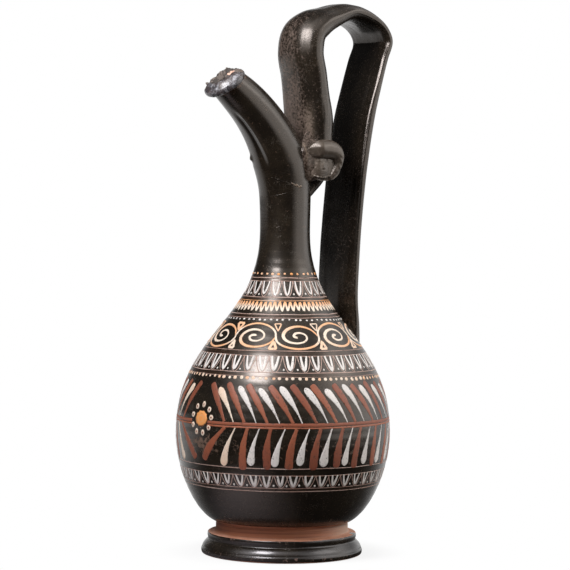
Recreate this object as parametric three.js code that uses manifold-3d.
// Epichysis: a slim wheel-made jug with a beak spout, a tall strap handle and a disc foot.
// Millimetres, +Z up. The spout points along -X and the handle stands on the +X side.
// The origin is the centre of the foot's flat underside.
import * as THREE from "three";
import { mergeVertices } from "three/addons/utils/BufferGeometryUtils.js";
import Module from "manifold-3d";

const wasm = await Module();
wasm.setup();

// Fit between luted pieces
const SLIP_GAP = 0.3;

// Foot: a disc with a rounded edge, a hollow moulding, a bare ledge and a short stem
const FOOT_UNDERSIDE_RADIUS = 26.5;
const FOOT_EDGE_RADIUS = 27.4;
const FOOT_EDGE_HEIGHT = 1.5;
const FOOT_HOLLOW_RADIUS = 25.1;
const FOOT_HOLLOW_HEIGHT = 4.6;
const LEDGE_RADIUS = 25.3;
const LEDGE_HEIGHT = 7.3;
const STEM_RADIUS = 22.5;
const FOOT_HEIGHT = 11;

// Body: a thrown ovoid, from the stem to the base of the neck
const BELLY_RADIUS = 36.45;
const BELLY_RISE = 30.3;
const BODY_LENGTH = 83;
const BODY_MOUTH_RADIUS = 11.25;
const BODY_WALL = 3.4;
const BODY_FLOOR = 4.5;

// Neck: a narrow thrown tube, cut at a slant where the spout is luted on
const NECK_FLARE = 20;
const NECK_LENGTH = 30.4;
const NECK_WAIST_RADIUS = 8.5;
const NECK_TOP_RADIUS = 8.85;
const NECK_WALL = 2.5;
const NECK_CUT_TILT = 22;

// Spout: a bent tube that swells at its throat and narrows to the mouth
const SPOUT_RISE = 34.4;
const SPOUT_REACH = 25.4;
const SPOUT_THROAT_RADIUS = 9.2;
const SPOUT_TIP_RADIUS = 6.2;
const SPOUT_WALL = 2;
const SPOUT_END_TILT = 56;
const MOUTH_TILT = 38;

// Lip: a thick coil round the mouth, set a little towards the pouring side
const LIP_RADIUS = 7.3;
const LIP_HEIGHT = 3.3;
const LIP_BORE_RADIUS = 4.4;
const LIP_OVERHANG = 1.1;

// Handle: a strap that rises behind the spout, turns over and drops to the shoulder
const ROOT_RISE = 10.6;
const ROOT_WIDTH = 21;
const ROOT_THICKNESS = 11;
const UPRIGHT_WIDTH = 19.2;
const UPRIGHT_THICKNESS = 10.2;
const ARCH_RISE = 63.6;
const ARCH_THICKNESS = 6.3;
const ARCH_FRONT = 6.1;
const ARCH_SPAN = 33;
const STRAP_WIDTH = 19.6;
const STRAP_THICKNESS = 3.6;
const STRAP_LANDING_DROP = 19;

// Heads: a small moulded mask on each side of the handle's root
const HEAD_WIDTH = 14;
const HEAD_HEIGHT = 14.4;
const HEAD_RELIEF = 4.6;

// Fineness of the round surfaces
const BODY_SIDES = 48;
const TUBE_SIDES = 28;
const STRAP_SIDES = 18;

// Heights that follow from the sizes
const BELLY_HEIGHT = FOOT_HEIGHT + BELLY_RISE;
const BODY_TOP = FOOT_HEIGHT + BODY_LENGTH;
const NECK_WAIST_HEIGHT = BODY_TOP + NECK_FLARE;
const NECK_TOP = BODY_TOP + NECK_LENGTH;
const MOUTH_HEIGHT = NECK_TOP + SPOUT_RISE;
const ROOT_HEIGHT = NECK_TOP + ROOT_RISE;
const ARCH_TOP = NECK_TOP + ARCH_RISE;
const LANDING_HEIGHT = BODY_TOP - STRAP_LANDING_DROP;

const DEGREE = Math.PI / 180;
const lerp = THREE.MathUtils.lerp;
const point = (r, z) => new THREE.Vector2(r, z);
const curve = (...points) => new THREE.CubicBezierCurve(...points);

// The outlines of body and neck: each is one curve between two named circles.
const NECK_BASE_SLOPE = 0.36; // how much the radius falls per millimetre of height at the joint
const lowerOutline = curve(
  point(STEM_RADIUS, FOOT_HEIGHT),
  point(lerp(STEM_RADIUS, BELLY_RADIUS, 0.49), lerp(FOOT_HEIGHT, BELLY_HEIGHT, 0.07)),
  point(BELLY_RADIUS, lerp(FOOT_HEIGHT, BELLY_HEIGHT, 0.555)),
  point(BELLY_RADIUS, BELLY_HEIGHT),
);
const shoulderReach = 0.323 * (BODY_TOP - BELLY_HEIGHT);
const upperOutline = curve(
  point(BELLY_RADIUS, BELLY_HEIGHT),
  point(BELLY_RADIUS, lerp(BELLY_HEIGHT, BODY_TOP, 0.514)),
  point(BODY_MOUTH_RADIUS + NECK_BASE_SLOPE * shoulderReach, BODY_TOP - shoulderReach),
  point(BODY_MOUTH_RADIUS, BODY_TOP),
);
const flareReach = 0.368 * NECK_FLARE;
const neckOutline = curve(
  point(BODY_MOUTH_RADIUS, BODY_TOP),
  point(BODY_MOUTH_RADIUS - NECK_BASE_SLOPE * flareReach, BODY_TOP + flareReach),
  point(NECK_WAIST_RADIUS, lerp(BODY_TOP, NECK_WAIST_HEIGHT, 0.557)),
  point(NECK_WAIST_RADIUS, NECK_WAIST_HEIGHT),
);

// The point of an outline at a height, by halving: every outline only rises.
function pointAtHeight(outline, z) {
  let low = 0;
  let high = 1;
  for (let i = 0; i < 40; i++) {
    const middle = (low + high) / 2;
    if (outline.getPoint(middle).y < z) low = middle;
    else high = middle;
  }
  return outline.getPoint(low);
}

// Points of an outline moved inwards, square to it, by a wall's thickness.
function insetPoints(outline, wall, count) {
  return Array.from({ length: count + 1 }, (_, i) => {
    const at = outline.getPoint(i / count);
    const along = outline.getTangent(i / count);
    return point(at.x - wall * along.y, at.y + wall * along.x);
  });
}

// A solid of revolution about Z, from a profile that starts and ends on the axis or closes on itself.
function turned(profile, sides) {
  return new THREE.LatheGeometry(profile, sides).rotateX(Math.PI / 2);
}

// A surface that runs through rings of points: it closes on itself, or it ends in two caps.
function lofted(rings, capped) {
  const sides = rings[0].length;
  const positions = rings.flat().flatMap((p) => [p.x, p.y, p.z]);
  const index = [];
  const spans = capped ? rings.length - 1 : rings.length;
  for (let i = 0; i < spans; i++) {
    const here = i * sides;
    const next = ((i + 1) % rings.length) * sides;
    for (let j = 0; j < sides; j++) {
      const k = (j + 1) % sides;
      index.push(here + j, here + k, next + k, here + j, next + k, next + j);
    }
  }
  if (capped) {
    for (const first of [0, rings.length - 1]) {
      const ring = rings[first];
      const hub = ring.reduce((sum, p) => sum.add(p), new THREE.Vector3()).divideScalar(sides);
      positions.push(hub.x, hub.y, hub.z);
      const hubIndex = positions.length / 3 - 1;
      for (let j = 0; j < sides; j++) {
        const a = first * sides + j;
        const b = first * sides + ((j + 1) % sides);
        if (first) index.push(hubIndex, a, b);
        else index.push(hubIndex, b, a);
      }
    }
  }
  return new THREE.BufferGeometry()
    .setAttribute("position", new THREE.Float32BufferAttribute(positions, 3))
    .setIndex(index);
}

// A circle round a point of the XZ plane; tilt leans its axis from +Z towards -X, in degrees.
function tiltedRing(x, z, tilt, radius) {
  const cos = Math.cos(tilt * DEGREE);
  const sin = Math.sin(tilt * DEGREE);
  return Array.from({ length: TUBE_SIDES }, (_, j) => {
    const angle = (2 * Math.PI * j) / TUBE_SIDES;
    const across = radius * Math.cos(angle);
    return new THREE.Vector3(x + across * cos, radius * Math.sin(angle), z + across * sin);
  });
}

// A tube with walls: a station is { x, z, tilt, outer, bore }.
function tubeShell(stations) {
  const outside = stations.map((s) => tiltedRing(s.x, s.z, s.tilt, s.outer));
  const inside = stations.map((s) => tiltedRing(s.x, s.z, s.tilt, s.bore)).reverse();
  return lofted([...outside, ...inside], false);
}

// The room that such a tube takes up, grown by a gap, as one filled solid.
function tubeRoom(stations, gap) {
  return lofted(stations.map((s) => tiltedRing(s.x, s.z, s.tilt, s.outer + gap)), true);
}

// Stations of the neck: upright to just below its waist, then leaning into the slanted cut.
const leanStart = lerp(BODY_TOP, NECK_WAIST_HEIGHT, 0.8);
const uprightStations = [0, 0.16, 0.34, 0.55, 0.77, 1].map((share) => {
  const at = pointAtHeight(neckOutline, lerp(BODY_TOP, leanStart, share));
  const wall = lerp(BODY_WALL, NECK_WALL, Math.min(1, 2 * share));
  return { x: 0, z: at.y, tilt: 0, outer: at.x, bore: at.x - wall };
});
const leaningStations = [0.3, 0.65, 1].map((share) => {
  const outer = lerp(uprightStations.at(-1).outer, NECK_TOP_RADIUS, share * share);
  const z = lerp(leanStart, NECK_TOP, share);
  return { x: 0, z, tilt: share * NECK_CUT_TILT, outer, bore: outer - NECK_WALL };
});
const neckStations = [...uprightStations, ...leaningStations];

// The spout's centre line starts at the slanted cut, clear of it by the slip, and ends at the mouth.
const cutLean = NECK_CUT_TILT * DEGREE;
const endLean = SPOUT_END_TILT * DEGREE;
const endReach = 0.48 * SPOUT_REACH;
const spoutLine = curve(
  point(-SLIP_GAP * Math.sin(cutLean), NECK_TOP + SLIP_GAP * Math.cos(cutLean)),
  point(-0.09 * SPOUT_REACH, lerp(NECK_TOP, MOUTH_HEIGHT, 0.44)),
  point(-SPOUT_REACH + endReach * Math.sin(endLean), MOUTH_HEIGHT - endReach * Math.cos(endLean)),
  point(-SPOUT_REACH, MOUTH_HEIGHT),
);

// Its radius swells from the neck to the throat and then narrows to the tip.
function spoutRadius(share) {
  const throat = 0.22;
  if (share < throat) {
    const rise = Math.sin((Math.PI / 2) * (share / throat));
    return lerp(NECK_TOP_RADIUS, SPOUT_THROAT_RADIUS, rise);
  }
  return lerp(SPOUT_THROAT_RADIUS, SPOUT_TIP_RADIUS, (share - throat) / (1 - throat));
}
const SPOUT_STEPS = 11;
const spoutStations = Array.from({ length: SPOUT_STEPS + 1 }, (_, i) => {
  const share = i / SPOUT_STEPS;
  const at = spoutLine.getPoint(share);
  const along = spoutLine.getTangent(share);
  const lean = Math.atan2(-along.x, along.y) / DEGREE;
  const toCut = Math.max(0, 1 - share / 0.25) * (NECK_CUT_TILT - lean);
  const toMouth = Math.max(0, (share - 0.7) / 0.3) * (MOUTH_TILT - lean);
  const outer = spoutRadius(share);
  return { x: at.x, z: at.y, tilt: lean + toCut + toMouth, outer, bore: outer - SPOUT_WALL };
});

// The strap's centre line, piece by piece, with its thickness and width at each point. Its section is
// round on the root and the upright and turns to a flat bar with rounded corners on the rear strap.
const ROUND_CORNER = 0.82;
const FLAT_CORNER = 0.56;
const neckBack = NECK_TOP_RADIUS;
const archLine = ARCH_TOP - ARCH_THICKNESS / 2;
const archRear = ARCH_FRONT + ARCH_SPAN;
const frontBend = ARCH_TOP - 17.5;
const rearBend = ARCH_TOP - 12.4;
const landing = pointAtHeight(upperOutline, LANDING_HEIGHT);

// The root: a thick wedge of clay that starts inside the neck's back and swells to carry the heads.
const rootPath = [
  { x: neckBack - 6.2, z: ROOT_HEIGHT - 15.5, thick: 0.45, wide: 0.58 },
  { x: neckBack - 2.2, z: ROOT_HEIGHT - 10.5, thick: 0.64, wide: 0.7 },
  { x: neckBack + 0.3, z: ROOT_HEIGHT - 5.5, thick: 0.86, wide: 0.9 },
  { x: neckBack + 0.9, z: ROOT_HEIGHT, thick: 1, wide: 1 },
  { x: neckBack + 0.7, z: ROOT_HEIGHT + 6.5, thick: 0.93, wide: 0.96 },
].map((s) => ({ ...s, thick: s.thick * ROOT_THICKNESS, wide: s.wide * ROOT_WIDTH, corner: ROUND_CORNER }));

// The upright: from the root to the front of the arch.
const uprightPath = [0.37, 0.57, 0.78, 1].map((share) => ({
  x: lerp(neckBack + 0.9, ARCH_FRONT, share ** 2.2),
  z: lerp(ROOT_HEIGHT, frontBend, share),
  thick: UPRIGHT_THICKNESS,
  wide: UPRIGHT_WIDTH + 1.5 * share * (1 - share),
  corner: ROUND_CORNER,
}));

// The arch: over the top. `thin` is how far the bar has gone from the upright's thickness to the arch's own.
const archPath = [
  { x: ARCH_FRONT + 1.2, z: ARCH_TOP - 11.3, thin: 0 },
  { x: ARCH_FRONT + 4.6, z: ARCH_TOP - 8.1, thin: 0.15 },
  { x: ARCH_FRONT + 9.8, z: archLine - 2.5, thin: 0.62 },
  { x: lerp(ARCH_FRONT, archRear, 0.53), z: archLine, thin: 1 },
].map(({ x, z, thin }) => ({
  x,
  z,
  thick: lerp(UPRIGHT_THICKNESS, ARCH_THICKNESS, thin),
  wide: lerp(UPRIGHT_WIDTH, STRAP_WIDTH, thin),
  corner: lerp(ROUND_CORNER, FLAT_CORNER, 0.5 * thin),
}));

// The rear bend: the bar flattens into the strap.
const bendPath = [
  { x: archRear - 8, z: archLine - 1.5, thick: lerp(ARCH_THICKNESS, STRAP_THICKNESS, 0.4) },
  { x: archRear - 2.3, z: archLine - 5, thick: STRAP_THICKNESS + 0.2 },
  { x: archRear, z: rearBend, thick: STRAP_THICKNESS },
].map((s) => ({ ...s, wide: STRAP_WIDTH, corner: FLAT_CORNER }));

// The rear strap: it drops steeply and straightens towards the shoulder.
const rearPath = [0.94, 0.865, 0.74, 0.58, 0.42, 0.27, 0.12].map((share) => ({
  x: lerp(landing.x + 0.7, archRear, share ** 2.4),
  z: lerp(landing.y, rearBend, share),
  thick: STRAP_THICKNESS,
  wide: STRAP_WIDTH,
  corner: FLAT_CORNER,
}));

// The landing: the strap spreads on the shoulder and runs on into it, to be cut to its curve.
const landingPath = [
  { x: landing.x + 1.2, z: landing.y + 2, thick: STRAP_THICKNESS + 0.5, wide: STRAP_WIDTH + 0.6 },
  { x: landing.x + 2.2, z: landing.y - 6, thick: STRAP_THICKNESS + 1, wide: STRAP_WIDTH + 1 },
].map((s) => ({ ...s, corner: FLAT_CORNER }));
const strapPath = [...rootPath, ...uprightPath, ...archPath, ...bendPath, ...rearPath, ...landingPath];

// One section of the strap, square to the centre line: an ellipse at a corner of 1, a rectangle at 0.
function strapSection(at, along, thick, wide, corner) {
  const rounded = (value) => Math.sign(value) * Math.abs(value) ** corner;
  return Array.from({ length: STRAP_SIDES }, (_, j) => {
    const angle = (2 * Math.PI * (j + 0.5)) / STRAP_SIDES;
    const out = (thick / 2) * rounded(Math.cos(angle));
    const side = (wide / 2) * rounded(Math.sin(angle));
    return new THREE.Vector3(at.x + out * along.z, side, at.z - out * along.x);
  });
}
function strapSolid() {
  const points = strapPath.map((s) => new THREE.Vector3(s.x, 0, s.z));
  const line = new THREE.CatmullRomCurve3(points, false, "centripetal");
  const last = strapPath.length - 1;
  const steps = 2 * last;
  const rings = Array.from({ length: steps + 1 }, (_, i) => {
    const before = strapPath[Math.floor(i / 2)];
    const after = strapPath[Math.ceil(i / 2)];
    const thick = (before.thick + after.thick) / 2;
    const wide = (before.wide + after.wide) / 2;
    const corner = (before.corner + after.corner) / 2;
    return strapSection(line.getPoint(i / steps), line.getTangent(i / steps), thick, wide, corner);
  });
  return lofted(rings, true);
}

// A closed geometry as a solid for cutting, and back.
function solidOf(geometry) {
  const bare = geometry.clone();
  bare.deleteAttribute("normal");
  bare.deleteAttribute("uv");
  const merged = mergeVertices(bare, 1e-4);
  const mesh = new wasm.Mesh({
    numProp: 3,
    vertProperties: new Float32Array(merged.getAttribute("position").array),
    triVerts: new Uint32Array(merged.index.array),
  });
  return new wasm.Manifold(mesh);
}
function geometryOf(solid) {
  const mesh = solid.getMesh();
  return new THREE.BufferGeometry()
    .setAttribute("position", new THREE.Float32BufferAttribute(mesh.vertProperties, 3))
    .setIndex(Array.from(mesh.triVerts));
}

// Height of a mask above its flat back as a share of its relief, at u across and v up, -1 to 1.
function maskRelief(u, v) {
  const bump = (cu, cv, wu, wv) => Math.exp(-(((u - cu) / wu) ** 2) - ((v - cv) / wv) ** 2);
  const dome = 0.62 * Math.sqrt(Math.max(0, 1 - u * u - v * v));
  const fromFace = Math.hypot(u, v + 0.12);
  const hair = v > -0.7 ? 0.34 * Math.exp(-(((fromFace - 0.78) / 0.17) ** 2)) : 0;
  const brow = 0.1 * bump(0, 0.2, 0.4, 0.1);
  const eyes = -0.09 * (bump(-0.22, 0.06, 0.14, 0.08) + bump(0.22, 0.06, 0.14, 0.08));
  const nose = 0.2 * bump(0, -0.08, 0.1, 0.2);
  const lips = 0.1 * bump(0, -0.42, 0.2, 0.07);
  const chin = 0.1 * bump(0, -0.66, 0.22, 0.12);
  return dome + hair + brow + eyes + nose + lips + chin;
}

// A mask with its back flat against the root's side; side is -1 for -Y and +1 for +Y.
const MASK_RINGS = 8;
const MASK_SPOKES = 24;
const MASK_EDGE = 0.35;
function maskSolid(side) {
  const back = side * (ROOT_WIDTH / 2 + SLIP_GAP);
  const ringAt = (share, raised) => {
    const ring = Array.from({ length: MASK_SPOKES }, (_, j) => {
      const angle = (2 * Math.PI * j) / MASK_SPOKES;
      const u = share * Math.cos(angle);
      const v = share * Math.sin(angle);
      const out = raised ? lerp(MASK_EDGE, HEAD_RELIEF, maskRelief(u, v)) : 0;
      const x = neckBack + 0.1 + (HEAD_WIDTH / 2) * u;
      const z = ROOT_HEIGHT - 0.4 + (HEAD_HEIGHT / 2) * v;
      return new THREE.Vector3(x, back + side * out, z);
    });
    return side > 0 ? ring.reverse() : ring;
  };
  const shares = Array.from({ length: MASK_RINGS }, (_, i) => 1 - i / MASK_RINGS);
  return lofted([ringAt(1, false), ...shares.map((share) => ringAt(share, true))], true);
}

// Foot: flat underside, rounded edge, hollow moulding, ledge rim and stem.
function footGeometry() {
  const edge = curve(
    point(FOOT_UNDERSIDE_RADIUS, 0),
    point(lerp(FOOT_UNDERSIDE_RADIUS, FOOT_EDGE_RADIUS, 0.9), 0.1 * FOOT_EDGE_HEIGHT),
    point(FOOT_EDGE_RADIUS, 0.5 * FOOT_EDGE_HEIGHT),
    point(FOOT_EDGE_RADIUS, FOOT_EDGE_HEIGHT),
  );
  const hollow = curve(
    point(FOOT_EDGE_RADIUS, FOOT_EDGE_HEIGHT),
    point(FOOT_EDGE_RADIUS, lerp(FOOT_EDGE_HEIGHT, FOOT_HOLLOW_HEIGHT, 0.45)),
    point(FOOT_HOLLOW_RADIUS, lerp(FOOT_EDGE_HEIGHT, FOOT_HOLLOW_HEIGHT, 0.55)),
    point(FOOT_HOLLOW_RADIUS, FOOT_HOLLOW_HEIGHT),
  );
  const ledgeWidth = LEDGE_RADIUS - STEM_RADIUS;
  const rim = curve(
    point(LEDGE_RADIUS, lerp(FOOT_HOLLOW_HEIGHT, LEDGE_HEIGHT, 0.63)),
    point(LEDGE_RADIUS, lerp(FOOT_HOLLOW_HEIGHT, LEDGE_HEIGHT, 0.9)),
    point(LEDGE_RADIUS - 0.1 * ledgeWidth, LEDGE_HEIGHT),
    point(LEDGE_RADIUS - 0.32 * ledgeWidth, LEDGE_HEIGHT),
  );
  const corner = curve(
    point(STEM_RADIUS + 0.36 * ledgeWidth, lerp(LEDGE_HEIGHT, FOOT_HEIGHT, 0.13)),
    point(STEM_RADIUS + 0.1 * ledgeWidth, lerp(LEDGE_HEIGHT, FOOT_HEIGHT, 0.16)),
    point(STEM_RADIUS, lerp(LEDGE_HEIGHT, FOOT_HEIGHT, 0.22)),
    point(STEM_RADIUS, lerp(LEDGE_HEIGHT, FOOT_HEIGHT, 0.33)),
  );
  const outline = [edge.getPoints(3), hollow.getPoints(4).slice(1), rim.getPoints(3), corner.getPoints(2)];
  const top = [point(STEM_RADIUS, FOOT_HEIGHT), point(0, FOOT_HEIGHT)];
  return turned([point(0, 0), ...outline.flat(), ...top], BODY_SIDES);
}

// Body: outside from the stem to the mouth, then inside back down to the middle of the floor.
function bodyGeometry() {
  const innerBelly = BELLY_RADIUS - BODY_WALL;
  const floor = FOOT_HEIGHT + BODY_FLOOR;
  const cavityFloor = curve(
    point(0, floor),
    point(0.72 * innerBelly, floor),
    point(innerBelly, lerp(floor, BELLY_HEIGHT, 0.42)),
    point(innerBelly, BELLY_HEIGHT),
  );
  const profile = [
    point(0, FOOT_HEIGHT),
    ...lowerOutline.getPoints(6),
    ...upperOutline.getPoints(11).slice(1),
    point(BODY_MOUTH_RADIUS - BODY_WALL, BODY_TOP),
    ...insetPoints(upperOutline, BODY_WALL, 9).slice(1, -1).reverse(),
    ...cavityFloor.getPoints(5).reverse(),
  ];
  return turned(profile, BODY_SIDES);
}

// Lip: a rounded coil with a plain bore, made upright and then leant into place.
function lipGeometry() {
  const outer = curve(
    point(SPOUT_TIP_RADIUS, 0),
    point(LIP_RADIUS + 0.4, 0),
    point(LIP_RADIUS + 0.2, LIP_HEIGHT),
    point(lerp(LIP_BORE_RADIUS, LIP_RADIUS, 0.6), LIP_HEIGHT),
  );
  const throat = point(LIP_BORE_RADIUS, 0.7 * LIP_HEIGHT);
  const profile = [...outer.getPoints(6), throat, point(LIP_BORE_RADIUS, 0)];
  return turned([...profile, profile[0].clone()], TUBE_SIDES);
}

// Handle: the strap, cut clear of the neck, the spout and the shoulder that carry it.
function handleGeometry() {
  const lowerRoom = insetPoints(lowerOutline, -SLIP_GAP, 8);
  const upperRoom = insetPoints(upperOutline, -SLIP_GAP, 16);
  const bodyRoom = turned([point(0, FOOT_HEIGHT), ...lowerRoom, ...upperRoom, point(0, BODY_TOP)], BODY_SIDES);
  const cut = solidOf(strapSolid())
    .subtract(solidOf(bodyRoom))
    .subtract(solidOf(tubeRoom(neckStations, SLIP_GAP)))
    .subtract(solidOf(tubeRoom(spoutStations, SLIP_GAP)));
  return geometryOf(cut);
}

const blackGloss = { color: 0x1b1815, roughness: 0.28, metalness: 0 };
const wornBand = { color: 0x8d8a88, roughness: 0.45, metalness: 0 };

const vessel = new THREE.Group();
function addPiece(name, geometry, finish = blackGloss) {
  geometry.computeVertexNormals();
  const mesh = new THREE.Mesh(geometry, new THREE.MeshStandardMaterial(finish));
  mesh.name = name;
  vessel.add(mesh);
  return mesh;
}

addPiece("foot", footGeometry());
addPiece("body", bodyGeometry());
addPiece("neck", tubeShell(neckStations));
addPiece("spout", tubeShell(spoutStations));
addPiece("handle", handleGeometry());
addPiece("head_left", maskSolid(-1));
addPiece("head_right", maskSolid(1));

const lip = addPiece("lip", lipGeometry(), wornBand);
const mouthLean = MOUTH_TILT * DEGREE;
lip.rotation.y = -mouthLean;
lip.position.set(
  -SPOUT_REACH - SLIP_GAP * Math.sin(mouthLean) - LIP_OVERHANG * Math.cos(mouthLean),
  0,
  MOUTH_HEIGHT + SLIP_GAP * Math.cos(mouthLean) - LIP_OVERHANG * Math.sin(mouthLean),
);

export default vessel;
